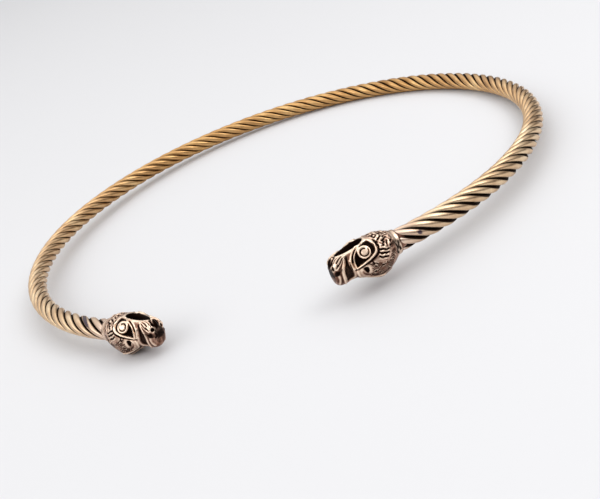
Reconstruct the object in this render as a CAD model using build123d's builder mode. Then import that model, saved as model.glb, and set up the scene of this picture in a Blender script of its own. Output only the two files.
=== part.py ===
# A neck torc: six wires laid round a core wire into a rigid oval rod, open at the front,
# with a cast beast's head soldered over each end of the rod. Millimetres, +Z up.

import os
from math import ceil, cos, degrees, hypot, pi, radians, sin, sqrt

from build123d import *
from scipy.optimize import linprog

# The ring, measured on the rod's centreline
ring_width = 140.0
ring_depth = 134.0
opening_half_angle = 28.7  # from the front to each end of the rod, in degrees of the oval's own turn
left_spring = 1.46  # how far the left end is sprung down
right_spring = 2.0  # how far the right end is sprung up

# The twisted rod
wire_diameter = 1.5
wire_count = 6
wire_sides = 6
wire_gap = 0.12  # between neighbouring wires
core_gap = 0.08  # between the core wire and the wires laid round it
facet_clearance = 0.05  # from a round wire's skin in to the corners of its flat-sided sections
lay_length = 22.8  # along the rod, for one full turn of a wire
first_wire_angle = -30.0  # round the rod from its outer side, where the first wire leaves the left end
sections_per_turn = 8
direction_step = 0.1  # along the rod, to either side of a point whose direction is wanted

# The soldered collar at the back of each head
collar_wall = 0.2
collar_length = 0.6
collar_groove = 0.12
socket_depth = 1.2
seat_clearance = 0.1  # between the rod and the walls and floor of its socket

# The cast heads
head_length = 15.65
head_width = 8.6
crown_height = 4.2  # from the rod's axis up
jaw_depth = 5.0  # from the rod's axis down
left_head_lean = 10.0  # of the crown in towards the neck, in degrees
right_head_lean = 2.0
head_rings = 37
head_facets = 38

# What the casting carries in relief
eye_length = 6.7
eye_width = 3.9
eye_rim_height = 0.42
eye_rim_reach = 0.3  # as a share of the eye's half size
eye_socket_depth = 0.3
iris_reach = 1.6  # from the iris's middle to where it meets the eye's floor
iris_height = 0.4
trough_length = 5.8
trough_width = 3.0
trough_depth = 1.5
trough_wall = 0.5  # as a share of the trough's half size
nostril_reach = 1.3
nostril_height = 0.2
cheek_hollow_depth = 0.75
mouth_depth = 0.2
mouth_level = -0.9  # of the line between nose and lip, from the rod's axis
mouth_reach = 0.55
lock_height = 0.25
lock_count = 7

parts_folder = "parts"

# The wires lie side by side on the lay radius, their gaps measured square to the wires
lay_width = wire_count * (wire_diameter + wire_gap)
lay_radius = lay_width * lay_length / sqrt(lay_length**2 - lay_width**2) / (2 * pi)
rod_radius = lay_radius + wire_diameter / 2
bore_radius = rod_radius + seat_clearance
collar_radius = bore_radius + collar_wall

# Straight runs between sections cut inside the lay radius, so the sections stand a little outside
mid_run_share = cos(pi / sections_per_turn)
corner_lay_radius = lay_radius * 2 / (1 + mid_run_share)
core_radius = corner_lay_radius * mid_run_share - wire_diameter / 2 - core_gap

# Each row is one section of the casting. Station is a share of the head's length, half_width of
# half its width, top of the crown's height and bottom of the jaw's depth. Squareness is 2 for an
# ellipse and more for a boxier outline.
head_sections = [
    # station, half_width, top, bottom, squareness
    (0.08, 0.71, 0.72, 0.62, 2.0),
    (0.15, 0.83, 0.83, 0.77, 2.0),
    (0.26, 0.94, 0.95, 0.93, 2.0),
    (0.36, 1.00, 0.96, 1.02, 2.1),
    (0.49, 0.98, 0.96, 0.89, 2.2),
    (0.59, 0.87, 0.92, 0.72, 2.2),
    (0.69, 0.70, 0.88, 0.62, 2.3),
    (0.78, 0.62, 0.83, 0.61, 2.3),
    (0.86, 0.59, 0.77, 0.65, 2.3),
    (0.92, 0.55, 0.70, 0.63, 2.3),
    (0.96, 0.48, 0.58, 0.58, 2.2),
    (0.98, 0.40, 0.45, 0.50, 2.2),
    (1.00, 0.20, 0.18, 0.28, 2.0),
]

# Places on the casting: a share of the head's length, and an angle up from the level of the axis
eye_place = (0.54, 35.0)
eye_slant = -53.0  # of the eye's long axis, against the head's length
iris_place = (0.543, 38.0)
trough_place = (0.67, 90.0)
nostril_place = (0.975, 50.0)
hollow_place = (0.805, -3.0)
hollow_length = 2.2
hollow_reach = 62.0  # up and down round the snout, in degrees
mouth_station = 0.9
lock_stations = (0.13, 0.39)
lock_angles = (-58.0, 78.0)

# The torc's underside is known at this many places along the rod
underside_places = 400


def ring_point(angle):
    """Centre of the rod, with angle 0 at the front and growing towards the left."""
    left = ring_width / 2 * sin(angle)
    forward = ring_depth / 2 * cos(angle)
    spring = -left_spring if sin(angle) > 0 else right_spring
    return Vector(-left, -forward, spring * (1 + cos(angle)) / 2)


def ring_table(steps=720):
    """Points of the centreline from the left end round the back to the right end."""
    first = radians(opening_half_angle)
    step = (2 * pi - 2 * first) / steps
    table = []
    length = 0.0
    last = ring_point(first)
    for index in range(steps + 1):
        point = ring_point(first + index * step)
        length += (point - last).length
        table.append((length, point))
        last = point
    return table


centreline = ring_table()
rod_length = centreline[-1][0]


def rod_centre(distance):
    """Point on the rod, with straight ends beyond the two collars' rims."""
    if distance <= 0:
        first, second = centreline[0], centreline[1]
    elif distance >= rod_length:
        first, second = centreline[-2], centreline[-1]
    else:
        index = min(int(distance / rod_length * (len(centreline) - 1)), len(centreline) - 2)
        while centreline[index][0] > distance:
            index -= 1
        while centreline[index + 1][0] < distance:
            index += 1
        first, second = centreline[index], centreline[index + 1]
    share = (distance - first[0]) / (second[0] - first[0])
    return first[1] + (second[1] - first[1]) * share


def rod_frame(distance):
    """Centre of the rod and the outward and upward directions square to it."""
    along = (rod_centre(distance + direction_step) - rod_centre(distance - direction_step)).normalized()
    outward = along.cross(Vector(0, 0, 1)).normalized() * -1
    return rod_centre(distance), outward, outward.cross(along).normalized() * -1, along


def wire_centre(distance, start_angle):
    """Point on a wire's own axis, which winds round the rod like a right-hand screw."""
    centre, outward, upward, _ = rod_frame(distance)
    turn = start_angle + 2 * pi * distance / lay_length
    return centre + (outward * cos(turn) + upward * sin(turn)) * corner_lay_radius


def wire(start_angle):
    """One of the laid wires, from the floor of one socket to the floor of the other."""
    slant = lay_width / lay_length
    first = seat_clearance + wire_diameter / 2 * slant - socket_depth
    last = rod_length - first
    count = ceil((last - first) / lay_length * sections_per_turn)
    with BuildPart() as strand:
        for index in range(count + 1):
            distance = first + (last - first) * index / count
            centre = wire_centre(distance, start_angle)
            ahead = wire_centre(distance + direction_step, start_angle)
            behind = wire_centre(distance - direction_step, start_angle)
            _, outward, _, _ = rod_frame(distance)
            along = (ahead - behind).normalized()
            with BuildSketch(Plane(centre, x_dir=outward - along * outward.dot(along), z_dir=along)):
                RegularPolygon(wire_diameter / 2 - facet_clearance, wire_sides)
        loft(ruled=True)
    return strand.part


def core():
    """The plain wire that the others are laid round."""
    first = seat_clearance - socket_depth
    last = rod_length - first
    count = ceil((last - first) / lay_length * sections_per_turn / 2)
    with BuildPart() as middle:
        for index in range(count + 1):
            centre, outward, _, along = rod_frame(first + (last - first) * index / count)
            with BuildSketch(Plane(centre, x_dir=outward, z_dir=along)):
                RegularPolygon(core_radius, wire_sides)
        loft(ruled=True)
    return middle.part


def blend(table, station, column):
    """Value of one column of a section table at a station, straight between its rows."""
    for low, high in zip(table, table[1:]):
        if station <= high[0]:
            share = (station - low[0]) / (high[0] - low[0])
            return low[column] + (high[column] - low[column]) * max(0.0, share)
    return table[-1][column]


def bump(distance, reach):
    """Smooth rise from 0 at the reach to 1 at the middle."""
    share = min(1.0, abs(distance) / reach)
    return (1 + cos(pi * share)) / 2


def casting_table():
    """The collar's sections and the head's, in millimetres, from the rod's end to the nose."""
    collar_end = collar_length / head_length
    groove_end = collar_end + 2 * collar_groove / head_length
    rows = []
    for station, radius in (
        (0.0, collar_radius - collar_groove),
        (collar_groove / head_length, collar_radius),
        (collar_end, collar_radius),
        (groove_end, collar_radius - collar_groove),
    ):
        rows.append((station, radius, radius, radius, 2.0))
    for station, half_width, top, bottom, squareness in head_sections:
        rows.append((station, half_width * head_width / 2, top * crown_height, bottom * jaw_depth, squareness))
    return rows


casting = casting_table()


def plain_radius(station, angle):
    """Distance from the head's axis to its plain skin, before any relief."""
    half_width, top, bottom, squareness = (blend(casting, station, column) for column in (1, 2, 3, 4))
    height = top if sin(angle) > 0 else bottom
    across = abs(cos(angle) / half_width) ** squareness
    upright = abs(sin(angle) / height) ** squareness
    return (across + upright) ** (-1 / squareness)


def surface_offset(station, angle, place):
    """Millimetres from a place on the skin, along the head and round it."""
    along = (station - place[0]) * head_length
    turn = (degrees(angle) - place[1] + 180) % 360 - 180
    girth = (head_width + crown_height * 2) / 4
    return along, radians(turn) * girth


def relief(station, angle):
    """Height of the cast ornament over the plain skin, the same on both cheeks."""
    if cos(angle) < 0:
        angle = pi - angle
    height = 0.0
    along, up = surface_offset(station, angle, eye_place)
    slant = radians(eye_slant)
    across_eye = -along * sin(slant) + up * cos(slant)
    along_eye = along * cos(slant) + up * sin(slant)
    lens = hypot(along_eye / (eye_length / 2), across_eye / (eye_width / 2))
    height += eye_rim_height * bump(lens - 1, eye_rim_reach)
    if lens < 1:
        height -= eye_socket_depth * bump(lens, 1.0)
    along, up = surface_offset(station, angle, iris_place)
    height += (iris_height + eye_socket_depth) * bump(hypot(along, up), iris_reach)
    along, up = surface_offset(station, angle, trough_place)
    trough = hypot(along / (trough_length / 2), up / (trough_width / 2))
    if trough < 1:
        height -= trough_depth * min(1.0, (1 - trough) / trough_wall)
    along, up = surface_offset(station, angle, nostril_place)
    height += nostril_height * bump(hypot(along, up), nostril_reach)
    along, up = surface_offset(station, angle, hollow_place)
    turn = degrees(angle) - hollow_place[1]
    if abs(turn) < hollow_reach:
        height -= cheek_hollow_depth * bump(along, hollow_length) * bump(turn, hollow_reach)
    if station > mouth_station:
        height -= mouth_depth * bump(plain_radius(station, angle) * sin(angle) - mouth_level, mouth_reach)
    if lock_stations[0] < station < lock_stations[1] and lock_angles[0] < degrees(angle) < lock_angles[1]:
        share = (station - lock_stations[0]) / (lock_stations[1] - lock_stations[0])
        height += lock_height * (0.5 - 0.5 * cos(2 * pi * lock_count / 2 * share))
    return height


def head_outline(station):
    """Corners of one section of the casting, which looks along +X with its crown up."""
    corners = []
    for index in range(head_facets):
        angle = -pi / 2 + 2 * pi * index / head_facets
        radius = plain_radius(station, angle)
        if station > casting[3][0]:
            radius += relief(station, angle)
        corners.append(Vector(station * head_length, radius * cos(angle), radius * sin(angle)))
    return corners


def socket_outline(depth):
    """Corners of the rod's socket, whose flat sides keep outside its bore."""
    radius = bore_radius / cos(pi / head_facets)
    turns = [-pi / 2 + 2 * pi * index / head_facets for index in range(head_facets)]
    return [Vector(depth, radius * cos(turn), radius * sin(turn)) for turn in turns]


def head_stations():
    """The collar's own stations, then even ones to the nose."""
    stations = [row[0] for row in casting[:4]]
    first = stations[-1]
    spread = head_rings - len(stations)
    for index in range(spread):
        stations.append(first + (1 - first) * (index + 1) / spread)
    return stations


def head():
    """A casting with the rod's socket in its back, from the socket's floor out and on to the nose."""
    outlines = [socket_outline(socket_depth), socket_outline(0.0)]
    outlines += [head_outline(station) for station in head_stations()]
    faces = [Face(Wire.make_polygon(outlines[0])), Face(Wire.make_polygon(outlines[-1]))]
    for behind, ahead in zip(outlines, outlines[1:]):
        for index, corner in enumerate(behind):
            beside = (index + 1) % head_facets
            faces.append(Face(Wire.make_polygon((corner, behind[beside], ahead[beside]))))
            faces.append(Face(Wire.make_polygon((corner, ahead[beside], ahead[index]))))
    with BuildPart() as cast_head:
        add(Solid(Shell(faces)))
    return cast_head.part


def head_plane(distance, away, lean):
    """Where a casting sits: its back at a rod end, looking away, its crown leaning in."""
    centre, outward, upward, along = rod_frame(distance)
    forward = along * away
    inward = outward * -1
    crown = upward * cos(radians(lean)) + inward * sin(radians(lean))
    return Plane(centre, x_dir=forward, z_dir=crown - forward * crown.dot(forward))


def resting_plane(points, weight_at):
    """The plane that no point comes below and that stands highest under the weight, as a table's would."""
    floor_terms = [(point.X, point.Y, 1.0) for point in points]
    heights = [point.Z for point in points]
    under_weight = (-weight_at.X, -weight_at.Y, -1.0)
    slope_x, slope_y, height = linprog(under_weight, A_ub=floor_terms, b_ub=heights, bounds=(None, None)).x
    normal = Vector(-slope_x, -slope_y, 1).normalized()
    return Plane(Vector(0, 0, height), x_dir=Vector(1, 0, 0) - normal * normal.X, z_dir=normal)


pieces = {}
for number in range(wire_count):
    pieces[f"strand_{number + 1}"] = wire(radians(first_wire_angle) + 2 * pi * number / wire_count)
pieces["core_wire"] = core()
casting_solid = head()
left_seat = head_plane(0.0, -1, left_head_lean)
right_seat = head_plane(rod_length, 1, right_head_lean)
pieces["left_head"] = left_seat.location * casting_solid
pieces["right_head"] = right_seat.location * casting_solid

# The torc lies as it would on a table: on its jaws and the underside of the rod
under = []
for place in range(underside_places + 1):
    centre, _, upward, _ = rod_frame(rod_length * place / underside_places)
    under.append(centre - upward * rod_radius)
for seat in (left_seat, right_seat):
    under += [seat.from_local_coords(corner) for station in head_stations() for corner in head_outline(station)]
whole = Compound(list(pieces.values()))
table_top = resting_plane(under, whole.center(CenterOf.MASS))
pieces = {name: table_top.to_local_coords(solid) for name, solid in pieces.items()}
box = Compound(list(pieces.values())).bounding_box()
to_origin = Location((-box.center().X, -box.center().Y, -box.min.Z))

os.makedirs(parts_folder, exist_ok=True)
for name, solid in pieces.items():
    placed = to_origin * solid
    placed.label = name
    export_step(placed, f"{parts_folder}/{name}.step")
    print(name, "volume", round(placed.volume, 1))
print("rod diameter", round(2 * rod_radius, 3), "core", round(2 * core_radius, 3), "rod length", round(rod_length, 1))
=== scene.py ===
import math

import bpy
import numpy as np
from mathutils import Matrix, Vector


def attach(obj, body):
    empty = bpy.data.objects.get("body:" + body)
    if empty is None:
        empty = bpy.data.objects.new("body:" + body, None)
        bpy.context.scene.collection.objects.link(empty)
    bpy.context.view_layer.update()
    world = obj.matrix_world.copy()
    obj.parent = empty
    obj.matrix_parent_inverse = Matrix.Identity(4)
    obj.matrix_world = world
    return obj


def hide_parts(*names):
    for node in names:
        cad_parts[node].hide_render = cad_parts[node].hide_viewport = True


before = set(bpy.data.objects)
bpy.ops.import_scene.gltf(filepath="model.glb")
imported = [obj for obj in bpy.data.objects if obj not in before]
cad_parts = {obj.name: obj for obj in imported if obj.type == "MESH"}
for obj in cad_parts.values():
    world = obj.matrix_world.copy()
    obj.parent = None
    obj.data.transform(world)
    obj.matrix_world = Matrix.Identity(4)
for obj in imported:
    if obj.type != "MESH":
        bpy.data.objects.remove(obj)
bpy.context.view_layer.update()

# A neck torc of twisted brass wires with a cast beast's head on each end, lying on a pale floor.
# Shapes are worked out in millimetres and turned to metres when a mesh is made.
mm = 0.001

ring = dict(
    width=140.0, depth=134.0,  # of the oval that the rod's middle follows
    halfGap=28.7,  # degrees of the oval's own turn from the front to each end of the rod
    leftSpring=1.46, rightSpring=2.0,  # the left end is sprung down and the right end up
    centre=(-0.0121, -0.9056, 4.4084),  # where the oval's middle stands as the torc lies
    leanRight=0.02013, leanBack=0.02377,  # slopes of the oval's own upward direction
)
rod = dict(
    wireCount=6, wireDiameter=1.5, wireGap=0.12, layLength=22.8, firstWire=-30.0,
    coreDiameter=1.94,  # fills the middle, so that nothing is seen through the rod
    endInset=1.0,  # how far the wires go into each collar
    rows=960, sides=22, coreRows=300, coreSides=16,
    # share of the rod's length, and degrees from a wire's crest at which its patina and painted shade begin
    grooveOpens=[(0, 40), (0.06, 48), (0.16, 64), (0.42, 60), (0.7, 44), (1, 36)], grooveEdge=30,
    # painted shade: degrees that the dark band stands higher on one flank, the share of the length from which
    # it does, and its ease
    flankShadeLean=20, flankShadeFrom=0.62, flankShadeEases=0.15,
    crestSquareness=2.3, crestHeight=0.96,  # rubbed and pressed: 2 and 1 would be round
    # thick and thin places: how many waves, their share of the radius and their length over 2 pi
    swellWaves=6, swellSize=(0.002, 0.006), swellLength=(1.5, 9), firstSeed=40,
    solderFades=5.0,  # mm from each collar over which the solder's pale tint fades
)
head = dict(
    leftLean=10.0, rightLean=2.0,  # degrees that each crown leans in towards the neck
    rows=300, halfColumns=156,
)


def linear(hexColour):
    # sRGB hex to linear light, channel by channel
    out = []
    for k in (1, 3, 5):
        c = int(hexColour[k:k + 2], 16) / 255
        out.append(c / 12.92 if c <= 0.04045 else ((c + 0.055) / 1.055) ** 2.4)
    return (*out, 1.0)


def smooth(x):
    # eases from 0 to 1 as x goes from 0 to 1
    x = np.clip(x, 0, 1)
    return x * x * (3 - 2 * x)


def unit(v):
    return v / np.linalg.norm(v, axis=-1, keepdims=True)


# Placing the ring
ringUp = unit(np.array([ring["leanRight"], ring["leanBack"], 1.0]))
ringRight = unit(np.array([1.0, 0, 0]) - ringUp * ringUp[0])
ringAxes = np.array([ringRight, np.cross(ringUp, ringRight), ringUp])


def placed(points):
    # a point of the oval's own frame, turned with the torc as it lies and moved to its place
    return np.asarray(ring["centre"]) + points @ ringAxes


def rodPath(steps=2400):
    # x = -width/2 sin a and y = -depth/2 cos a, where a runs from the left end round the back;
    # each end rises or falls by its spring times (1 + cos a)/2
    a = np.linspace(math.radians(ring["halfGap"]), 2 * math.pi - math.radians(ring["halfGap"]), steps)
    rise = np.where(np.sin(a) > 0, -ring["leftSpring"], ring["rightSpring"]) * (1 + np.cos(a)) / 2
    points = np.stack([-ring["width"] / 2 * np.sin(a), -ring["depth"] / 2 * np.cos(a), rise], 1)
    gone = np.r_[0, np.cumsum(np.linalg.norm(np.diff(points, axis=0), axis=1))]
    return gone, points


pathLength, pathPoints = rodPath()
rodLength = pathLength[-1]


def rodCentre(s):
    # the path at a distance s from its left end, carried on straight past either end
    within = np.clip(s, 0, rodLength)
    points = np.stack([np.interp(within, pathLength, pathPoints[:, k]) for k in range(3)], -1)
    first = unit(pathPoints[1] - pathPoints[0])
    last = unit(pathPoints[-1] - pathPoints[-2])
    return points + np.minimum(s, 0)[..., None] * first + np.maximum(s - rodLength, 0)[..., None] * last


def rodFrame(s):
    # the rod's middle, and the outward, upward and forward directions there
    step = 0.25
    along = unit(rodCentre(s + step) - rodCentre(s - step))
    outward = -unit(np.cross(along, [0, 0, 1]))
    return rodCentre(s), outward, -np.cross(outward, along), along


def makePiece(name, points, loopUv=None, fields=None):
    # a grid of points, round in its second index, closed by a pole at each end
    rows, sides, _ = points.shape
    cell = np.arange(rows - 1)[:, None] * sides + np.arange(sides)[None]
    after = np.arange(rows - 1)[:, None] * sides + (np.arange(sides)[None] + 1) % sides
    quads = np.stack([cell, after, after + sides, cell + sides], -1).reshape(-1, 4)
    ring0 = np.arange(sides)
    pole = rows * sides
    startCap = np.stack([np.full(sides, pole), (ring0 + 1) % sides, ring0], -1)
    top = (rows - 1) * sides
    endCap = np.stack([np.full(sides, pole + 1), top + ring0, top + (ring0 + 1) % sides], -1)
    corners = np.concatenate([points.reshape(-1, 3), points[0].mean(0)[None], points[-1].mean(0)[None]])
    mesh = bpy.data.meshes.new(name)
    faces = quads.tolist() + startCap.tolist() + endCap.tolist()
    mesh.from_pydata((placed(corners) * mm).tolist(), [], faces)
    for field, values in (fields or {}).items():
        flat = np.r_[values.reshape(-1), values[0].mean(), values[-1].mean()]
        mesh.attributes.new(field, "FLOAT", "POINT").data.foreach_set("value", flat.astype(np.float32))
    if loopUv is not None:
        u, v = loopUv  # along in rows, round in sides
        uv = np.zeros((len(mesh.loops), 2), np.float32)
        r = np.repeat(np.arange(rows - 1), sides)
        c = np.tile(np.arange(sides), rows - 1)
        quadUv = np.stack([np.stack([u[r], v[c]], -1), np.stack([u[r], v[c + 1]], -1),
                           np.stack([u[r + 1], v[c + 1]], -1), np.stack([u[r + 1], v[c]], -1)], 1)
        uv[:len(quads) * 4] = quadUv.reshape(-1, 2)
        mesh.uv_layers.new(name="around").data.foreach_set("uv", uv.reshape(-1))
    mesh.polygons.foreach_set("use_smooth", np.ones(len(mesh.polygons), bool))
    mesh.update()
    piece = bpy.data.objects.new(name, mesh)
    bpy.context.scene.collection.objects.link(piece)
    return piece


# Wires
layWidth = rod["wireCount"] * (rod["wireDiameter"] + rod["wireGap"])
layRadius = layWidth * rod["layLength"] / math.sqrt(rod["layLength"] ** 2 - layWidth ** 2) / (2 * math.pi)

# Dark blotches of burnt flux, each along one wire: distance of its middle from the nearer collar,
# degrees round the rod from its outer side there, half its length, and degrees round the wire
blotches = dict(
    left=[(7.2, 84, 3.2, -12)],
    right=[(4.5, 16, 0.6, 4)],
    reach=12, spread=45,  # degrees round the rod within which a wire has it, and round the wire
)


def wirePiece(number):
    # each wire's middle circles the rod once in a lay length, and its round section stands
    # square to it, with angle 0 on the side that faces out of the rod
    start = math.radians(rod["firstWire"]) + 2 * math.pi * number / rod["wireCount"]
    s = np.linspace(-rod["endInset"], rodLength + rod["endInset"], rod["rows"])

    def middle(at):
        centre, outward, upward, _ = rodFrame(at)
        turn = start + 2 * math.pi * at / rod["layLength"]
        return centre + layRadius * (outward * np.cos(turn)[:, None] + upward * np.sin(turn)[:, None])

    centre = middle(s)
    along = unit(middle(s + 0.1) - middle(s - 0.1))
    facing = unit(centre - rodCentre(s))
    facing = unit(facing - along * (facing * along).sum(-1, keepdims=True))
    across = np.cross(along, facing)
    # turned is the angle round the wire
    turned = np.arange(rod["sides"]) / rod["sides"] * 2 * math.pi
    # the outer half is worn to a superellipse, |cos|^p + |sin|^p = 1 in its own turn
    worn = np.cos(turned) > 0
    p = np.where(worn, rod["crestSquareness"], 2)
    radius = rod["wireDiameter"] / 2 * (np.abs(np.cos(turned)) ** p + np.abs(np.sin(turned)) ** p) ** (-1 / p)
    out = radius * np.cos(turned) * np.where(worn, rod["crestHeight"], 1)
    dents = np.random.default_rng(rod["firstSeed"] + number)
    swell = np.ones(len(s))
    for _ in range(rod["swellWaves"]):
        size = dents.uniform(*rod["swellSize"])
        swell += size * np.sin(s / dents.uniform(*rod["swellLength"]) + dents.uniform(0, 6))
    swell = swell[:, None, None]
    points = (centre[:, None] + swell * (out[None, :, None] * facing[:, None]
              + (radius * np.sin(turned))[None, :, None] * across[:, None]))
    fromCrest = np.degrees(np.minimum(turned, 2 * math.pi - turned))
    opens = np.interp(s / rodLength, *zip(*rod["grooveOpens"]))[:, None]
    # painted shade: from a share of the length on, the dark band stands higher on one flank
    flankShading = smooth((s / rodLength - rod["flankShadeFrom"]) / rod["flankShadeEases"])[:, None]
    flankShadeTilt = rod["flankShadeLean"] * flankShading * np.sin(turned)[None]
    groove = smooth((fromCrest[None] - opens + flankShadeTilt) / rod["grooveEdge"])
    nearEnd = np.minimum(s, rodLength - s)
    tint = np.exp(-np.maximum(nearEnd, 0) / rod["solderFades"])
    solder = np.broadcast_to(tint[:, None], points.shape[:2])
    # a blotch is on the wire that passes nearest to its place
    tarnish = np.zeros(points.shape[:2])
    fromFacing = (np.degrees(turned) + 180) % 360 - 180
    for side in ("left", "right"):
        fromCollar = s if side == "left" else rodLength - s
        for away, angle, length, flank in blotches[side]:
            at = away if side == "left" else rodLength - away
            miss = (math.degrees(start) + 360 * at / rod["layLength"] - angle + 180) % 360 - 180
            nearPlace = np.exp(-((fromCollar - away) / length) ** 2 - (miss / blotches["reach"]) ** 2)
            nearFlank = np.exp(-((fromFacing - flank) / blotches["spread"]) ** 2)
            tarnish = np.maximum(tarnish, nearPlace[:, None] * nearFlank)
    # the map runs in centimetres along the wire and once round it
    alongMap, roundMap = s / 10, np.arange(rod["sides"] + 1) / rod["sides"]
    fields = dict(groove=groove, solder=solder, tarnish=tarnish)
    return makePiece(f"wire{number + 1}", points, (alongMap, roundMap), fields)


def corePiece():
    # a plain round wire along the rod's middle
    s = np.linspace(-rod["endInset"], rodLength + rod["endInset"], rod["coreRows"])
    centre, outward, upward, _ = rodFrame(s)
    turned = (np.arange(rod["coreSides"]) / rod["coreSides"] * 2 * math.pi)[None, :, None]
    around = np.cos(turned) * outward[:, None] + np.sin(turned) * upward[:, None]
    points = centre[:, None] + rod["coreDiameter"] / 2 * around
    # painted shade: the core wire is dark all over, as the shade inside the rod
    dark = np.ones(points.shape[:2])
    return makePiece("coreWire", points, None, dict(groove=dark, solder=0 * dark, tarnish=0 * dark))


# The head's plain form, looking along x with its crown up: one row for each section. Drop is how
# far the section's middle has sunk, and squareness is 2 for an ellipse and more for a boxier one.
headForm = np.array([
    # along, half width, crown, jaw, drop, crown squareness, jaw squareness
    (-1.7, 1.70, 1.70, 1.70, 0.00, 2.0, 2.0),
    (-1.1, 2.02, 2.02, 2.02, 0.00, 2.0, 2.0),
    (-0.5, 2.26, 2.26, 2.26, 0.00, 2.0, 2.0),
    (-0.1, 2.44, 2.44, 2.44, 0.00, 2.0, 2.0),
    (0.04, 2.66, 2.66, 2.66, 0.00, 2.0, 2.0),
    (0.25, 2.72, 2.72, 2.72, 0.00, 2.0, 2.0),
    (0.70, 2.78, 2.78, 2.78, 0.00, 2.0, 2.0),
    (1.30, 3.05, 3.02, 3.10, 0.00, 2.0, 2.0),
    (2.30, 3.55, 3.48, 3.85, 0.00, 2.0, 2.0),
    (4.00, 4.06, 3.98, 4.67, 0.00, 2.0, 2.1),
    (5.70, 4.32, 4.05, 5.12, 0.00, 2.0, 2.2),
    (7.60, 4.22, 4.04, 4.47, 0.00, 2.2, 2.2),
    (9.30, 3.72, 3.88, 3.61, 0.00, 2.4, 2.1),
    (10.8, 3.02, 3.70, 3.10, 0.00, 2.5, 2.1),
    (12.2, 2.66, 3.48, 3.06, 0.00, 2.4, 2.1),
    (13.5, 2.52, 3.22, 3.25, 0.00, 2.3, 2.2),
    (14.4, 2.35, 2.98, 3.12, 0.05, 2.3, 2.3),
    (15.0, 2.08, 2.60, 2.75, 0.15, 2.3, 2.3),
    (15.36, 1.70, 2.12, 2.25, 0.25, 2.2, 2.2),
    (15.55, 1.18, 1.48, 1.55, 0.32, 2.1, 2.1),
    (15.63, 0.60, 0.75, 0.80, 0.35, 2.0, 2.0),
    (15.65, 0.05, 0.06, 0.06, 0.35, 2.0, 2.0),
])


def throughRows(rows, count):
    # every column runs smoothly through its rows, without overshoot, and the result is spaced
    # evenly along the profile
    step = np.diff(rows[:, :4], axis=0)
    t = np.r_[0, np.cumsum(np.hypot(step[:, 0], step[:, 1:4].mean(1)))]
    slope = np.diff(rows, axis=0) / np.diff(t)[:, None]
    before, after = slope[:-1], slope[1:]
    same = before * after > 0
    middle = np.where(same, 2 * before * after / np.where(same, before + after, 1), 0)
    tangent = np.concatenate([slope[:1], middle, slope[-1:]])
    at = np.linspace(0, t[-1], count)
    k = np.clip(np.searchsorted(t, at, side="right") - 1, 0, len(t) - 2)
    h = (t[k + 1] - t[k])[:, None]
    x = ((at - t[k]) / h[:, 0])[:, None]
    low, high = rows[k], rows[k + 1]
    return ((2 * x**3 - 3 * x**2 + 1) * low + (x**3 - 2 * x**2 + x) * h * tangent[k]
            + (-2 * x**3 + 3 * x**2) * high + (x**3 - x**2) * h * tangent[k + 1])


def plainSkin():
    # each section is a superellipse: (cos A/half width)^p + (sin A/height)^p = 1
    form = throughRows(headForm, head["rows"])
    angle = np.radians(np.linspace(-90, 90, head["halfColumns"] + 1))
    c, s = np.abs(np.cos(angle))[None], np.sin(angle)[None]
    up = smooth(s * 4 + 0.5)  # from the jaw's side to the crown's
    height = np.where(s > 0, form[:, 2:3], form[:, 3:4])
    p = form[:, 6:7] + (form[:, 5:6] - form[:, 6:7]) * up
    radius = ((c / form[:, 1:2]) ** p + np.abs(s / height) ** p) ** (-1 / p)
    x = np.broadcast_to(form[:, :1], radius.shape)
    return form[:, 0], np.degrees(angle), np.stack([x, radius * np.cos(angle), radius * s - form[:, 4:5]], -1)


skinAlong, skinAngle, skinPoints = plainSkin()
gridU, gridA = np.meshgrid(skinAlong, skinAngle, indexing="ij")


def onSkin(u, angle):
    # the plain skin's point at a distance along the head and an angle up from its side,
    # by straight shares between grid points; past the crown or the keel it is mirrored
    angle = np.asarray(angle, float)
    over = np.abs(angle) > 90
    folded = np.where(over, np.sign(angle) * 180 - angle, angle)
    r = np.interp(u, skinAlong, np.arange(len(skinAlong)))
    c = (folded + 90) / 180 * (len(skinAngle) - 1)
    i = np.clip(r.astype(int), 0, len(skinAlong) - 2)
    j = np.clip(c.astype(int), 0, len(skinAngle) - 2)
    fr, fc = (r - i)[:, None], (c - j)[:, None]
    point = ((1 - fr) * (1 - fc) * skinPoints[i, j] + fr * (1 - fc) * skinPoints[i + 1, j]
             + (1 - fr) * fc * skinPoints[i, j + 1] + fr * fc * skinPoints[i + 1, j + 1])
    point[:, 1] *= np.where(over, -1, 1)
    return point


def curveThrough(points, closed=False, steps=7):
    # a smooth curve through given points: a cubic between each two, whose direction at
    # a point is that from the point before it to the point after it
    p = np.asarray(points, float)
    ends = (p[-1:], p[:2]) if closed else (2 * p[:1] - p[1:2], 2 * p[-1:] - p[-2:-1])
    p = np.concatenate([ends[0], p, ends[1]])
    x = (np.arange(steps) / steps)[None, :, None]
    a, b, c, d = (p[k:len(p) - 3 + k][:, None] for k in range(4))
    curve = 0.5 * (2 * b + (c - a) * x + (2 * a - 5 * b + 4 * c - d) * x**2 + (3 * b - a - 3 * c + d) * x**3)
    curve = curve.reshape(-1, 2)
    return curve if closed else np.concatenate([curve, p[-2:-1]])


def distanceTo(line, reach, closed=False):
    # distance of every grid point from a line on the skin, capped at reach
    path = onSkin(line[:, 0], line[:, 1])
    if closed:
        path = np.concatenate([path, path[:1]])
    low, high = path.min(0) - reach, path.max(0) + reach
    near = ((skinPoints >= low) & (skinPoints <= high)).all(-1)
    cloud = skinPoints[near][:, None]
    start, run = path[:-1][None], np.diff(path, axis=0)[None]
    share = ((cloud - start) * run).sum(-1) / np.maximum((run**2).sum(-1), 1e-9)
    gap = np.linalg.norm(cloud - start - np.clip(share, 0, 1)[..., None] * run, axis=-1).min(1)
    out = np.full(skinPoints.shape[:2], reach)
    out[near] = np.minimum(gap, reach)
    return out


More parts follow.
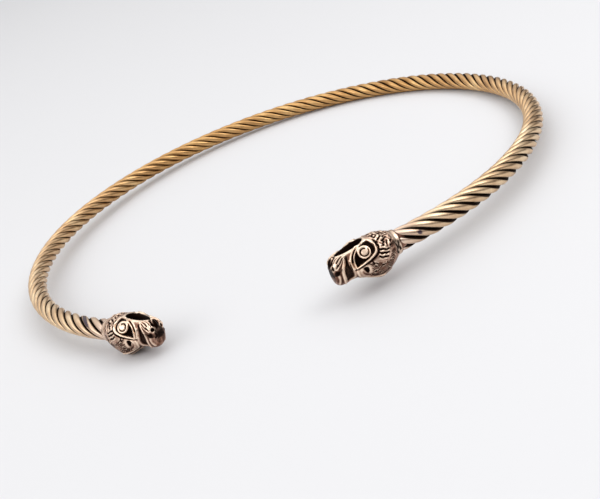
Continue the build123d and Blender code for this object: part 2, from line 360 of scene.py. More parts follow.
def inside(outline):
    # whether each grid point is inside a closed outline, by counting crossings
    u0, a0 = outline[:, 0], outline[:, 1]
    u1, a1 = np.roll(u0, -1), np.roll(a0, -1)
    u, a = gridU.reshape(-1, 1), gridA.reshape(-1, 1)
    spans = (a0 > a) != (a1 > a)
    crossAt = u0 + (a - a0) / np.where(a1 == a0, 1, a1 - a0) * (u1 - u0)
    return ((spans & (u < crossAt)).sum(1) % 2 == 1).reshape(gridU.shape)


def ridge(points, width, closed=False, bend=True):
    # a rounded bead along a line, 1 on the line and 0 at its half width
    line = curveThrough(points, closed) if bend else np.asarray(points, float)
    return (1 + np.cos(math.pi * distanceTo(line, width, closed) / width)) / 2


def plate(points, edge, bend=True):
    # 1 inside an outline, falling to 0 over an edge that lies inside it
    line = curveThrough(points, True) if bend else np.asarray(points, float)
    return np.where(inside(line), smooth(distanceTo(line, edge, True) / edge), 0)


def dome(u, angle, radius, flat=0.0):
    # a round boss, 1 at its middle and 0 at its radius
    away = np.linalg.norm(skinPoints - onSkin(np.array([u]), np.array([angle]))[0], axis=-1)
    return smooth((1 - away / radius) / (1 - flat))


# The relief on the head. A line or an outline is a list of points, each its distance along the
# head in mm and its degrees up from the side. Plates have a height and the width of their edge,
# and lines a height and a half width, in mm; what is cut in has a height below 0.
eye = dict(
    rim=[(6.5, 74), (6.0, 56), (5.9, 39), (6.4, 24), (7.8, 15), (9.0, 9), (10.0, 3), (10.8, -2),
         (11.0, 20), (10.7, 40), (9.75, 54), (8.3, 67), (7.3, 73)],
    underGroove=[(5.4, 56), (5.3, 37), (5.8, 19), (7.3, 8), (8.8, 2), (10.2, -5), (11.1, -10)],
    browGroove=[(8.0, 71), (8.75, 66.5), (10.05, 54.5), (10.9, 42), (11.25, 27)],
    plates=dict(rim=(-0.50, 0.45)),
    lines=dict(underGroove=(-0.30, 0.32), browGroove=(-0.34, 0.34)),
    # the lid's bead loses height from an angle, which is larger in front of a distance
    rimHeight=0.42, rimWidth=0.40, rimLoss=0.32,
    lossFrom=42, laterInFront=18, frontFrom=7.2, lossEases=14,
    middle=(8.5, 38.0), irisRadius=1.62, irisFlat=0.78, irisHeight=0.78,
    spiralRadius=(1.0, 0.66), spiralTurn=(-190, 130), spiralSteps=26, spiralDepth=0.42, spiralWidth=0.22,
    headRadius=4.2,  # under the eye
    outerRidge=[(7.3, 77), (8.2, 73.5), (9.2, 68), (10.5, 56), (11.2, 45), (11.6, 30), (11.6, 12),
                (11.35, -4)],
    outerHeight=0.24, outerWidth=0.32, outerEnd=76, outerEases=10,
    beads=[(11.75, 36), (11.7, -4)], beadCount=9, beadHeight=0.20, beadRadius=0.30, beadFlat=0.1,
    crownFrom=77, crownEases=12,  # all of it dies away towards the crown
)
snout = dict(
    trough=[(7.1, 102), (7.1, 88), (7.6, 77), (8.6, 71), (10.0, 69), (11.5, 70.5), (12.8, 76), (13.6, 84),
            (13.75, 92), (13.6, 104)],
    bulb=[(14.1, 106), (14.1, 86), (14.5, 78), (14.9, 73), (15.3, 70), (15.5, 72), (15.6, 90), (15.6, 112)],
    leaf=[(11.75, 60), (12.3, 69), (13.2, 75), (14.2, 76), (14.7, 72), (15.0, 62), (15.2, 48), (15.1, 32),
          (14.7, 22), (13.8, 33), (12.6, 50)],
    valley=[(11.8, 56), (11.95, 40), (11.9, 25), (11.65, 5), (11.45, -12), (11.35, -32), (11.6, -50),
            (12.4, -60), (13.3, -60), (13.6, -46), (13.75, -20), (13.7, 0), (13.4, 20), (12.8, 38),
            (12.3, 52)],
    bulbGroove=[(13.95, 98), (14.0, 86), (14.4, 78), (14.9, 72.5), (15.25, 70)],
    seam=[(12.6, 51), (13.1, 37), (13.65, 18), (13.9, 0), (13.95, -24), (13.85, -48), (13.7, -64)],
    lipFold=[(14.9, 4), (14.75, -14), (14.8, -34), (15.0, -54)],
    plates=dict(trough=(-1.9, 0.5), bulb=(0.40, 0.9), leaf=(0.27, 0.34), valley=(-0.62, 0.9)),
    lines=dict(bulbGroove=(-0.34, 0.30), seam=(0.20, 0.24), lipFold=(0.16, 0.40)),
    streaks=[[(12.6, 66), (13.6, 60), (14.3, 53)], [(13.1, 71), (14.3, 67), (14.7, 61)],
             [(12.8, 57), (13.6, 47), (14.2, 39)], [(14.2, 45), (14.7, 34)]],
    streakDepth=0.32, streakWidth=0.20,
    nostril=(15.31, 49), nostrilHeight=0.12, nostrilRadius=0.95, nostrilFlat=0.4,
    holeDepth=0.75, holeRadius=0.55, holeFlat=0.35,
    # painted shade and painted dark reflection, with each patch's strength: the bulb, the cheek under the
    # nostril, the lip's side
    paintedShades=[(1.0, [(14.15, 104), (14.35, 86), (14.7, 77), (15.1, 70), (15.5, 64), (15.63, 64), (15.63, 104)]),
            (0.95, [(13.4, 20), (14.0, 27), (14.6, 24), (15.1, 31), (15.5, 26), (15.62, 2), (15.4, -9),
                    (14.7, -7), (14.1, 3), (13.7, 10)]),
            (0.75, [(15.3, -14), (15.56, -10), (15.6, -30), (15.4, -35)])],
    paintedShadeEdge=0.4,
    # the flat front has painted shade too, more above the mouth than on the lip
    frontFrom=15.40, frontEases=0.12, mouthLevel=-1.1, mouthEases=0.4, lipPaintedShade=0.35, nosePaintedShade=0.58,
    blackOverRimWidth=0.16,  # of the black that runs over the trough's rim
)
jaw = dict(
    rim=[(10.9, -4), (11.0, -16), (10.9, -32), (10.4, -50), (9.0, -57), (7.3, -58), (5.6, -56)],
    plate=[(9.7, -6), (10.9, -6), (11.0, -30), (10.5, -50), (8.8, -56), (8.3, -48), (9.3, -40), (9.9, -26)],
    hole=[(9.5, -6), (8.8, -9), (8.7, -26), (9.1, -35), (9.6, -26), (9.9, -12)],
    keel=[(3.6, -66), (5.6, -76), (8.0, -76), (10.4, -70)],
    plates=dict(plate=(0.20, 0.4), hole=(-0.50, 0.35)),
    lines=dict(rim=(0.26, 0.34), keel=(0.22, 0.5)),
)
# Noise is given as its seed and its reach in rows of the grid
hair = dict(
    locks=[[(3.55, 65), (4.68, 54)], [(2.73, 55), (3.97, 46)], [(4.45, 71), (4.9, 67)],
           [(3.0, 62), (3.45, 58)], [(5.04, 52), (4.95, 47)], [(3.55, 41), (4.2, 37)],
           [(3.1, 39), (3.4, 33)], [(4.0, 33), (4.25, 31)], [(5.15, 40), (5.2, 35)],
           [(5.62, 41), (5.8, 36)], [(5.38, 51), (5.62, 45)], [(5.5, 62), (5.25, 57)],
           [(1.32, 49), (1.76, 41), (2.33, 36)], [(1.45, 57), (1.64, 68), (2.20, 75)],
           [(2.2, 62), (2.6, 66)]],
    crownStroke=[(0, 84), (-0.35, 78), (-0.5, 73)], crownStrokes=5, firstStroke=2.3, strokeSpacing=0.82,
    strokeDepth=0.34, strokeWidth=0.22,
    skull=[(1.9, 110), (2.0, 60), (2.2, 20), (3.2, 18), (4.9, 30), (5.1, 44), (5.3, 62), (5.9, 80),
           (6.4, 110)],
    skullEdge=0.3, skullHeight=0.06, skullNoise=(25, 2),
    comb=[(5.2, 30), (3.1, 18), (3.7, -2), (4.5, -13), (6.5, 0), (5.8, 15)],
    combEdge=0.16, combHeight=0.10,
    # the comb's bars are crossed by degrees round the head, and slope along it
    barSlope=6.0, barSpacing=12.0, firstBar=-6.0, barDepth=0.40, barSharpness=1.3,
    barWander=0.08, barNoise=(26, 4),
    cheek=[(1.8, 8), (2.8, 10), (3.5, -4), (4.4, -15), (6.6, -5), (7.6, 5), (8.6, 0), (8.4, -10), (8.4, -30),
           (8.8, -48), (7.0, -54), (5.2, -54), (3.4, -46), (2.2, -20)],
    cheekEdge=0.35, headRadius=4.3,
    # the beard's rows: their height, how much of it is below the skin, and how far they are apart
    beardHeight=0.22, beardSunk=0.35, rowSpacing=0.50, rowWander=0.20, rowNoise=(22, 4),
    curlLength=0.95, curlHeight=0.17, curlWander=0.30, curlNoise=(21, 5),
    rowStrength=0.8, rowBreaks=0.38, breakNoise=(23, 3),
)
# Worn pits on the right head's collar
pits = dict(
    lines=[[(1.60, 28), (1.40, 14), (1.25, 2)], [(1.30, 4), (1.50, -12), (1.30, -24)],
           [(0.65, 22), (0.85, 6), (1.15, -6)], [(0.70, -4), (0.60, -16)]],
    width=0.50, strength=0.95, unevenBy=0.3, noise=(27, 6),
)
casting = dict(
    reliefFrom=1.5, reliefEases=0.5,  # the collar behind it is smooth
    grainSeed=7, grain=[(2, 0.030), (6, 0.10)],  # reach in rows and height of the cast skin's waves
    poleRadius=0.3, poleEases=1.2,  # the grain is left off at the tip of the nose
    roundAbout=7,  # rows over which a place is compared with what lies round it
    darkDepth=0.085, brightHeight=0.12,  # at which a hollow is black and a ridge is bright
    deepDepth=0.40, deepDark=0.9,  # of the deeper forms
    dirtEdge=0.5, cheekDirt=0.26, skullDirt=0.16, valleyDirt=-0.25,
    # how dark the painted shade on the snout is, and how uneven
    paintedShadeDark=0.92, paintedShadeUneven=0.22, paintedShadeNoise=(24, 5),
    irisBright=0.4,
    # the collar's bright band: where it starts and ends, and the length of each edge
    collarBright=0.7, collarFrom=0.1, collarTo=1.9, collarStarts=0.2, collarEnds=0.6,
)


def blur(field, reach):
    # a soft average, with weights exp(-(k/reach)^2/2) over the rows and columns k away
    kernel = np.exp(-0.5 * (np.arange(-3 * reach, 3 * reach + 1) / reach) ** 2)
    kernel /= kernel.sum()
    pad = 3 * reach
    out = np.pad(field, ((pad, pad), (0, 0)), mode="edge")
    out = np.stack([np.convolve(column, kernel, "valid") for column in out.T], 1)
    out = np.pad(out, ((0, 0), (pad, pad)), mode="reflect")
    return np.stack([np.convolve(line, kernel, "valid") for line in out])


def unevenness(seed, reach):
    # smooth noise over the skin, the same in every run, with a spread of 1
    field = blur(np.random.default_rng(seed).normal(0, 1, gridU.shape), reach)
    return field / field.std()


def relief(part):
    # the sum of a part's plates and lines, each times its height
    height = np.zeros(gridU.shape)
    for name, (rise, edge) in part["plates"].items():
        height += rise * plate(part[name], edge)
    for name, (rise, width) in part["lines"].items():
        height += rise * ridge(part[name], width)
    return height


def eyeRelief():
    height = relief(eye)
    # the lid's bead
    lossFrom = eye["lossFrom"] + eye["laterInFront"] * smooth(gridU - eye["frontFrom"])
    rimHeight = eye["rimHeight"] - eye["rimLoss"] * smooth((gridA - lossFrom) / eye["lossEases"])
    height += rimHeight * ridge(eye["rim"], eye["rimWidth"], closed=True)
    # the iris, with a spiral groove whose radius shrinks evenly while it turns round the pupil
    height += eye["irisHeight"] * dome(*eye["middle"], eye["irisRadius"], eye["irisFlat"])
    u, angle = eye["middle"]
    turn = np.radians(np.linspace(*eye["spiralTurn"], eye["spiralSteps"]))
    r = np.linspace(*eye["spiralRadius"], eye["spiralSteps"])
    angles = angle + np.degrees(r * np.sin(turn) / eye["headRadius"])
    spiral = np.stack([u + r * np.cos(turn), angles], 1)
    height -= eye["spiralDepth"] * ridge(spiral, eye["spiralWidth"], bend=False)
    # the ridge in front of the eye, and the row of beads before it
    outer = ridge(eye["outerRidge"], eye["outerWidth"])
    height += eye["outerHeight"] * outer * smooth((eye["outerEnd"] - gridA) / eye["outerEases"])
    first, last = np.array(eye["beads"], float)
    for share in np.linspace(0, 1, eye["beadCount"]):
        u, angle = first + (last - first) * share
        height += eye["beadHeight"] * dome(u, angle, eye["beadRadius"], eye["beadFlat"])
    return height * smooth((eye["crownFrom"] - gridA) / eye["crownEases"])


def snoutRelief():
    # the snout's height, where its trough is black, and its painted shade
    height = relief(snout)
    for line in snout["streaks"]:
        height -= snout["streakDepth"] * ridge(line, snout["streakWidth"])
    height += snout["nostrilHeight"] * dome(*snout["nostril"], snout["nostrilRadius"], snout["nostrilFlat"])
    height -= snout["holeDepth"] * dome(*snout["nostril"], snout["holeRadius"], snout["holeFlat"])
    paintedShade = np.zeros(gridU.shape)
    for strength, outline in snout["paintedShades"]:
        paintedShade = np.maximum(paintedShade, strength * plate(outline, snout["paintedShadeEdge"]))
    front = smooth((gridU - snout["frontFrom"]) / snout["frontEases"])
    aboveMouth = smooth((skinPoints[..., 2] - snout["mouthLevel"]) / snout["mouthEases"])
    paintedShade = np.maximum(paintedShade, front * (snout["lipPaintedShade"] + snout["nosePaintedShade"] * aboveMouth))
    rim = curveThrough(snout["trough"], True)
    # the trough is black all through, and the black runs a little over its rim
    overRim = smooth(1 - distanceTo(rim, snout["blackOverRimWidth"], True) / snout["blackOverRimWidth"])
    return height, np.where(inside(rim), 1, overRim), paintedShade


def hairRelief():
    # strokes cut into the skull, and a row of them slanting over the crown
    strokes = list(hair["locks"])
    for number in range(hair["crownStrokes"]):
        u = hair["firstStroke"] + number * hair["strokeSpacing"]
        strokes.append([(u + along, angle) for along, angle in hair["crownStroke"]])
    height = -hair["strokeDepth"] * np.max([ridge(line, hair["strokeWidth"]) for line in strokes], axis=0)
    # the comb behind the eye: a raised panel with bars cut across it, cos(2 pi place) deep
    place = (gridA - hair["barSlope"] * gridU - hair["firstBar"]) / hair["barSpacing"]
    place += hair["barWander"] * unevenness(*hair["barNoise"])
    bars = smooth(0.5 + hair["barSharpness"] * np.cos(2 * math.pi * place))
    comb = plate(hair["comb"], hair["combEdge"], bend=False)
    height += comb * (hair["combHeight"] - hair["barDepth"] * bars)
    # the beard: rows cos(2 pi phase) along the cheek that curl, wander and break
    girth = np.radians(gridA) * hair["headRadius"]
    waves = (gridU + hair["curlWander"] * unevenness(*hair["curlNoise"])) / hair["curlLength"]
    wander = hair["rowWander"] * unevenness(*hair["rowNoise"])
    phase = (girth + hair["curlHeight"] * np.sin(2 * math.pi * waves) + wander) / hair["rowSpacing"]
    strength = smooth(hair["rowStrength"] + hair["rowBreaks"] * unevenness(*hair["breakNoise"]))
    rows = np.cos(2 * math.pi * phase) * strength - hair["beardSunk"]
    height += hair["beardHeight"] * plate(hair["cheek"], hair["cheekEdge"]) * rows
    # the skull between the strokes is a little uneven
    skull = hair["skullHeight"] * plate(hair["skull"], hair["skullEdge"])
    return height + skull * unevenness(*hair["skullNoise"])


def headShape():
    # one half of the head: its points, how dark each is, and how bright it is rubbed
    height = eyeRelief() + relief(jaw) + hairRelief()
    snoutHeight, black, paintedShade = snoutRelief()
    height += snoutHeight
    height = blur(height * smooth((gridU - casting["reliefFrom"]) / casting["reliefEases"]), 1)
    cast = np.random.default_rng(casting["grainSeed"])
    grain = sum(size * blur(cast.normal(0, 1, gridU.shape), reach) for reach, size in casting["grain"])
    fromTip = np.hypot(skinPoints[..., 1], skinPoints[..., 2])
    offTip = smooth((fromTip - casting["poleRadius"]) / casting["poleEases"])
    height += grain * smooth(gridU) * offTip
    # the relief stands along the plain skin's outward direction, and the crown and keel lines
    # stay in the middle plane
    out = unit(np.cross(np.gradient(skinPoints, axis=1), np.gradient(skinPoints, axis=0)) + 1e-12)
    out[:, [0, -1], 1] = 0
    points = skinPoints + height[..., None] * out
    points[:, [0, -1], 1] = 0
    points[..., 1] = np.maximum(points[..., 1], 0)
    above = height - blur(height, casting["roundAbout"])
    recess = np.clip(-above / casting["darkDepth"], 0, 1)
    recess += casting["cheekDirt"] * plate(hair["cheek"], casting["dirtEdge"])
    recess += casting["skullDirt"] * plate(hair["skull"], casting["dirtEdge"])
    recess = np.maximum(recess, smooth(-height / casting["deepDepth"]) * casting["deepDark"])
    recess += casting["valleyDirt"] * plate(snout["valley"], snout["plates"]["valley"][1])
    recess = np.maximum(recess, blur(black, 1))
    # painted shade on the snout, made a little uneven
    uneven = casting["paintedShadeUneven"] * unevenness(*casting["paintedShadeNoise"]) * offTip
    recess = np.maximum(recess, paintedShade * (casting["paintedShadeDark"] + uneven))
    raised = np.clip(above / casting["brightHeight"], 0, 1)
    iris = dome(*eye["middle"], eye["irisRadius"], eye["irisFlat"])
    collar = smooth((casting["collarTo"] - gridU) / casting["collarEnds"])
    collar *= smooth((gridU - casting["collarFrom"]) / casting["collarStarts"])
    raised = np.maximum(raised, np.maximum(casting["irisBright"] * iris, casting["collarBright"] * collar))
    return points, np.clip(recess, 0, 1), raised


halfHead, halfRecess, halfRaised = headShape()


def bothSides(half, flip=False):
    # the other cheek is the mirror of the first, and shares its crown and keel lines
    other = half[:, -2:0:-1].copy()
    if flip:
        other[..., 1] *= -1
    return np.concatenate([half, other], 1)


def headPiece(name, s, away, lean, pitted):
    # away is 1 or -1 along the rod, out of its end, and the crown leans in from straight up
    centre, outward, upward, along = (v[0] for v in rodFrame(np.array([s])))
    lean = math.radians(lean)
    forward = along * away
    crown = upward * math.cos(lean) - outward * math.sin(lean)
    crown = unit(crown - forward * crown.dot(forward))
    side = np.cross(crown, forward)
    points = centre + bothSides(halfHead, True) @ np.array([forward, side, crown])
    recess = bothSides(halfRecess)
    if pitted:
        cut = np.max([ridge(line, pits["width"]) for line in pits["lines"]], axis=0)
        cut = np.clip(cut * (pits["strength"] + pits["unevenBy"] * unevenness(*pits["noise"])), 0, 1)
        columns = halfRecess.shape[1]
        recess[:, :columns] = np.maximum(halfRecess, cut)
    return makePiece(name, points, None, dict(recess=recess, raised=bothSides(halfRaised)))


# Materials
def addNode(tree, kind, settings=None, inputs=None, stops=None):
    # adds a node and sets its properties, its inputs, each a value or (node, output), and its stops
    node = tree.nodes.new(kind)
    for key, value in (settings or {}).items():
        setattr(node, key, value)
    for key, value in (inputs or {}).items():
        if isinstance(value, tuple) and isinstance(value[0], bpy.types.Node):
            tree.links.new(value[0].outputs[value[1]], node.inputs[key])
        else:
            node.inputs[key].default_value = value
    if stops:
        elements = node.color_ramp.elements
        elements[0].position, elements[0].color = stops[0]
        elements[1].position, elements[1].color = stops[-1]
        for position, colour in stops[1:-1]:
            elements.new(position).color = colour
    return node


def grey(level):
    return (level, level, level, 1.0)


def newMaterial(name):
    material = bpy.data.materials.new(name)
    material.use_nodes = True
    material.node_tree.nodes.clear()
    return material, material.node_tree


brassFinish = dict(
    metal=[(0.30, "#BE9C78"), (0.52, "#DDBD97"), (0.74, "#F8E2BE")],
    # painted reflection: a deeper golden tint towards the back of the ring
    backReflectionTint="#E8D4B0", backReflectionFrom=-0.025, backReflectionTo=0.05,  # metres from the middle to the back
    solder="#E6CDBF", solderShare=0.8, dirtAndShade="#24150D", burnt="#463B4C",
    # how strong dirt with painted shade and burnt flux are at a depth, and how far specks move that depth
    dirtAndShadeStops=[(0.15, 0), (0.62, 0.55), (0.92, 1)], dirtAndShadeSpecks=0.5,
    burntStops=[(0.30, 0), (0.62, 0.95)], burntSpecks=0.7,
    mottleScale=160.0,  # cloudy marks about 6 mm long
    fineScale=2600.0,  # specks of about 0.4 mm
    drawnScale=(6.0, 60.0, 1.0),  # drawing lines run along the wire
    roughness=(0.24, 0.62), mottleRoughness=0.14,  # rubbed and dirty, and what the marks add
    drawnBump=(0.10, 0.00004), fineBump=(0.18, 0.00005),  # strength, and height in metres
)


def agedBrassWire():
    # drawn brass wire, twisted, darkened with age and rubbed bright: a warm yellow metal with
    # brown to black in the grooves, partly patina and partly painted shade, a painted reflection on
    # the back of the ring, and a little heat tint where it was soldered
    look = brassFinish
    material, tree = newMaterial("agedBrassWire")
    place = addNode(tree, "ShaderNodeTexCoord")
    groove = addNode(tree, "ShaderNodeAttribute", dict(attribute_name="groove"))
    solder = addNode(tree, "ShaderNodeAttribute", dict(attribute_name="solder"))
    tarnish = addNode(tree, "ShaderNodeAttribute", dict(attribute_name="tarnish"))
    mottle = addNode(tree, "ShaderNodeTexNoise", inputs={
        "Vector": (place, "Object"), "Scale": look["mottleScale"], "Detail": 5.0, "Roughness": 0.6})
    fine = addNode(tree, "ShaderNodeTexNoise", inputs={
        "Vector": (place, "Object"), "Scale": look["fineScale"], "Detail": 3.0, "Roughness": 0.7})
    metal = addNode(tree, "ShaderNodeValToRGB", inputs={"Fac": (mottle, "Fac")},
                    stops=[(at, linear(colour)) for at, colour in look["metal"]])
    # painted reflection: the back of the ring is tinted a deeper golden brown
    across = addNode(tree, "ShaderNodeSeparateXYZ", inputs={"Vector": (place, "Object")})
    back = addNode(tree, "ShaderNodeMapRange", inputs={
        "Value": (across, "Y"), "From Min": look["backReflectionFrom"], "From Max": look["backReflectionTo"]})
    reflectionTinted = addNode(tree, "ShaderNodeMix", dict(data_type="RGBA", blend_type="MULTIPLY"), {
        0: (back, 0), 6: (metal, 0), 7: linear(look["backReflectionTint"])})
    share = addNode(tree, "ShaderNodeMath", dict(operation="MULTIPLY"), {
        0: (solder, "Fac"), 1: look["solderShare"]})
    tint = addNode(tree, "ShaderNodeMix", dict(data_type="RGBA"), {
        0: (share, 0), 6: (reflectionTinted, 2), 7: linear(look["solder"])})
    # dirt and painted shade in the grooves, with a speckled edge
    edge = addNode(tree, "ShaderNodeMath", dict(operation="MULTIPLY_ADD"), {
        0: (fine, "Fac"), 1: look["dirtAndShadeSpecks"], 2: -look["dirtAndShadeSpecks"] / 2})
    dirtAndShade = addNode(tree, "ShaderNodeMath", dict(operation="ADD", use_clamp=True), {
        0: (groove, "Fac"), 1: (edge, 0)})
    dark = addNode(tree, "ShaderNodeValToRGB", inputs={"Fac": (dirtAndShade, 0)},
                   stops=[(at, grey(level)) for at, level in look["dirtAndShadeStops"]])
    body = addNode(tree, "ShaderNodeMix", dict(data_type="RGBA"), {
        0: (dark, 0), 6: (tint, 2), 7: linear(look["dirtAndShade"])})
    # blotches of burnt flux
    spot = addNode(tree, "ShaderNodeMath", dict(operation="MULTIPLY_ADD"), {
        0: (fine, "Fac"), 1: look["burntSpecks"], 2: -look["burntSpecks"] / 2})
    burnt = addNode(tree, "ShaderNodeMath", dict(operation="ADD", use_clamp=True), {
        0: (tarnish, "Fac"), 1: (spot, 0)})
    burntMask = addNode(tree, "ShaderNodeValToRGB", inputs={"Fac": (burnt, 0)},
                        stops=[(at, grey(level)) for at, level in look["burntStops"]])
    colour = addNode(tree, "ShaderNodeMix", dict(data_type="RGBA"), {
        0: (burntMask, 0), 6: (body, 2), 7: linear(look["burnt"])})
    rubbed, dirty = look["roughness"]
    rough = addNode(tree, "ShaderNodeMapRange", inputs={
        "Value": (dark, 0), "To Min": rubbed, "To Max": dirty})
    roughMore = addNode(tree, "ShaderNodeMath", dict(operation="MULTIPLY_ADD"), {
        0: (mottle, "Fac"), 1: look["mottleRoughness"], 2: (rough, 0)})
    # faint drawing lines and specks
    around = addNode(tree, "ShaderNodeUVMap", dict(uv_map="around"))
    lines = addNode(tree, "ShaderNodeMapping", inputs={
        "Vector": (around, "UV"), "Scale": look["drawnScale"]})
    drawn = addNode(tree, "ShaderNodeTexNoise", inputs={"Vector": (lines, 0), "Scale": 1.0, "Detail": 3.0})
    strength, height = look["drawnBump"]
    drawnBump = addNode(tree, "ShaderNodeBump", inputs={
        "Height": (drawn, "Fac"), "Strength": strength, "Distance": height})
    strength, height = look["fineBump"]
    bump = addNode(tree, "ShaderNodeBump", inputs={
        "Height": (fine, "Fac"), "Normal": (drawnBump, 0), "Strength": strength, "Distance": height})
    shader = addNode(tree, "ShaderNodeBsdfPrincipled", inputs={
        "Base Color": (colour, 2), "Roughness": (roughMore, 0), "Normal": (bump, 0), "Metallic": 1.0})
    addNode(tree, "ShaderNodeOutputMaterial", inputs={"Surface": (shader, 0)})
    return material


bronzeFinish = dict(
    metal=[(0.30, "#54362B"), (0.50, "#8E6755"), (0.72, "#CBA692")],
    polished="#FFE5CC", polishedShare=0.95, recess="#170C08",
    dirtAndShadeStops=[(0.10, 0), (0.55, 0.7), (0.85, 1)], dirtAndShadeSpecks=0.5,  # as for the brass
    mottleScale=420.0,  # cloudy marks about 2.5 mm across
    fineScale=3200.0,  # casting grain of about 0.3 mm
    roughness=(0.26, 0.55),  # polished and blackened
    grainBump=(0.25, 0.00005),  # strength, and height in metres
)


def antiquedBronzeCasting():
    # a lost-wax bronze casting, dipped to blacken it and polished back: rosy bright metal on
    # what stands up, brown between and near black in the recesses, with painted shade on the snout
    look = bronzeFinish
    material, tree = newMaterial("antiquedBronzeCasting")
    place = addNode(tree, "ShaderNodeTexCoord")
    recess = addNode(tree, "ShaderNodeAttribute", dict(attribute_name="recess"))
    raised = addNode(tree, "ShaderNodeAttribute", dict(attribute_name="raised"))
    mottle = addNode(tree, "ShaderNodeTexNoise", inputs={
        "Vector": (place, "Object"), "Scale": look["mottleScale"], "Detail": 5.0, "Roughness": 0.6})
    fine = addNode(tree, "ShaderNodeTexNoise", inputs={
        "Vector": (place, "Object"), "Scale": look["fineScale"], "Detail": 3.0, "Roughness": 0.7})
    metal = addNode(tree, "ShaderNodeValToRGB", inputs={"Fac": (mottle, "Fac")},
                    stops=[(at, linear(colour)) for at, colour in look["metal"]])
    share = addNode(tree, "ShaderNodeMath", dict(operation="MULTIPLY"), {
        0: (raised, "Fac"), 1: look["polishedShare"]})
    bright = addNode(tree, "ShaderNodeMix", dict(data_type="RGBA"), {
        0: (share, 0), 6: (metal, 0), 7: linear(look["polished"])})
    edge = addNode(tree, "ShaderNodeMath", dict(operation="MULTIPLY_ADD"), {
        0: (fine, "Fac"), 1: look["dirtAndShadeSpecks"], 2: -look["dirtAndShadeSpecks"] / 2})
    dirtAndShade = addNode(tree, "ShaderNodeMath", dict(operation="ADD", use_clamp=True), {
        0: (recess, "Fac"), 1: (edge, 0)})
    dark = addNode(tree, "ShaderNodeValToRGB", inputs={"Fac": (dirtAndShade, 0)},
                   stops=[(at, grey(level)) for at, level in look["dirtAndShadeStops"]])
    colour = addNode(tree, "ShaderNodeMix", dict(data_type="RGBA"), {
        0: (dark, 0), 6: (bright, 2), 7: linear(look["recess"])})
    polished, blackened = look["roughness"]
    rough = addNode(tree, "ShaderNodeMapRange", inputs={
        "Value": (dark, 0), "To Min": polished, "To Max": blackened})
    strength, height = look["grainBump"]
    bump = addNode(tree, "ShaderNodeBump", inputs={
        "Height": (fine, "Fac"), "Strength": strength, "Distance": height})
    shader = addNode(tree, "ShaderNodeBsdfPrincipled", inputs={
        "Base Color": (colour, 2), "Roughness": (rough, 0), "Normal": (bump, 0), "Metallic": 1.0})
    addNode(tree, "ShaderNodeOutputMaterial", inputs={"Surface": (shader, 0)})
    return material


brass = agedBrassWire()
bronze = antiquedBronzeCasting()
print("metals mixed")

for number in range(rod["wireCount"]):
    wire = wirePiece(number)
    wire.data.materials.append(brass)
    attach(wire, "root")
    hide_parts(f"strand_{number + 1}")
core = corePiece()
core.data.materials.append(brass)
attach(core, "root")
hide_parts("core_wire")
print("wires laid, rod length", round(rodLength, 1), "mm")

for name, node, s, away, lean, pitted in (("leftHead", "left_head", 0.0, -1, head["leftLean"], False),
                                          ("rightHead", "right_head", rodLength, 1, head["rightLean"], True)):
    beastHead = headPiece(name, s, away, lean, pitted)
    beastHead.data.materials.append(bronze)
    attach(beastHead, "root")
    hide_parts(node)
print("heads cast")


# Floor, light and camera
floor = dict(reach=3.0, colour="#DADADC", roughness=0.7)
# Where each soft light stands, what it faces, its size in metres and its watts
softboxes = dict(
    leftSoftbox=((-0.60, -0.45, 0.60), (0, 0, 0), (0.8, 0.6), 1.9),
    overheadSoftbox=((0.1, 0.25, 0.9), (0, 0, 0), (1.1, 0.9), 1.5),
    rightSoftbox=((0.30, -0.05, 0.34), (0.07, 0, 0), (0.25, 0.2), 0.40),
)
# Colours of the room from the horizon, 0, to straight up, 1, on its left and on its right
room = dict(
    leftWall=[(0.0, "#9C9894"), (0.25, "#DCDCDC"), (0.6, "#FFFFFF")],
    rightWall=[(0.0, "#1E1A18"), (0.25, "#5A524B"), (0.45, "#D8D8DA"), (0.75, "#FFFFFF")],
    leftEnds=-0.4, rightBegins=0.5, brightness=1.05,
)
cameraView = dict(
    aim=(0.01034, -0.04533, 0.0044),  # where the photo's middle meets the ring's own level
    heading=-14.03, elevation=24.92, roll=-22.02, distance=0.2034, lens=53.55,
)


def paleFloor():
    mesh = bpy.data.meshes.new("paleFloor")
    r = floor["reach"]
    mesh.from_pydata([(-r, -r, 0), (r, -r, 0), (r, r, 0), (-r, r, 0)], [], [(0, 1, 2, 3)])
    material, tree = newMaterial("paleBoard")
    shader = addNode(tree, "ShaderNodeBsdfPrincipled", inputs={
        "Base Color": linear(floor["colour"]), "Roughness": floor["roughness"]})
    addNode(tree, "ShaderNodeOutputMaterial", inputs={"Surface": (shader, 0)})
    mesh.materials.append(material)
    board = bpy.data.objects.new("paleFloor", mesh)
    bpy.context.scene.collection.objects.link(board)


def softLight(name, place, aim, size, watts):
    light = bpy.data.lights.new(name, "AREA")
    light.shape = "RECTANGLE"
    light.size, light.size_y = size
    light.energy = watts
    lamp = bpy.data.objects.new(name, light)
    lamp.location = place
    lamp.rotation_euler = (Vector(aim) - Vector(place)).to_track_quat("-Z", "Y").to_euler()
    bpy.context.scene.collection.objects.link(lamp)


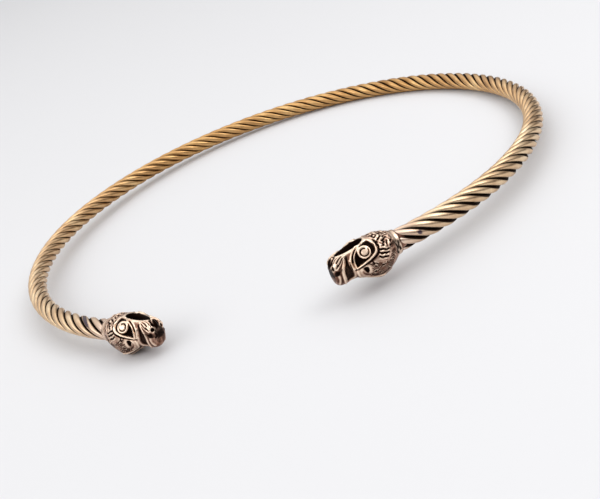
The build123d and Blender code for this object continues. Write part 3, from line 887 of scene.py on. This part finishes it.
def paleWorld():
    # a pale room that is dimmer near the floor, so that polished metal has something to show
    world = bpy.data.worlds.new("paleRoom")
    world.use_nodes = True
    tree = world.node_tree
    tree.nodes.clear()
    place = addNode(tree, "ShaderNodeTexCoord")
    way = addNode(tree, "ShaderNodeSeparateXYZ", inputs={"Vector": (place, "Generated")})
    leftWall, rightWall = (
        addNode(tree, "ShaderNodeValToRGB", inputs={"Fac": (way, "Z")},
                stops=[(at, linear(colour)) for at, colour in room[wall]])
        for wall in ("leftWall", "rightWall"))
    side = addNode(tree, "ShaderNodeMapRange", inputs={
        "Value": (way, "X"), "From Min": room["leftEnds"], "From Max": room["rightBegins"]})
    shade = addNode(tree, "ShaderNodeMix", dict(data_type="RGBA"), {
        0: (side, 0), 6: (leftWall, 0), 7: (rightWall, 0)})
    back = addNode(tree, "ShaderNodeBackground", inputs={
        "Color": (shade, 2), "Strength": room["brightness"]})
    addNode(tree, "ShaderNodeOutputWorld", inputs={"Surface": (back, 0)})
    bpy.context.scene.world = world


def setCamera():
    # the camera looks at its aim from a heading round the torc and a height above the floor
    data = bpy.data.cameras.new("photoCamera")
    data.lens = cameraView["lens"]
    data.sensor_width = 36
    data.clip_start, data.clip_end = 0.01, 20
    camera = bpy.data.objects.new("photoCamera", data)
    heading, rise = math.radians(cameraView["heading"]), math.radians(cameraView["elevation"])
    level = math.cos(rise)
    forward = Vector((math.sin(heading) * level, math.cos(heading) * level, -math.sin(rise)))
    right = forward.cross(Vector((0, 0, 1))).normalized()
    turn = Matrix((right, right.cross(forward), -forward)).transposed().to_4x4()
    roll = Matrix.Rotation(math.radians(cameraView["roll"]), 4, "Z")
    place = Vector(cameraView["aim"]) - forward * cameraView["distance"]
    camera.matrix_world = Matrix.Translation(place) @ turn @ roll
    bpy.context.scene.collection.objects.link(camera)
    bpy.context.scene.camera = camera


paleFloor()
paleWorld()
for name, (place, aim, size, watts) in softboxes.items():
    softLight(name, place, aim, size, watts)
setCamera()
bpy.context.scene.view_settings.view_transform = "Standard"

print("scene ready")
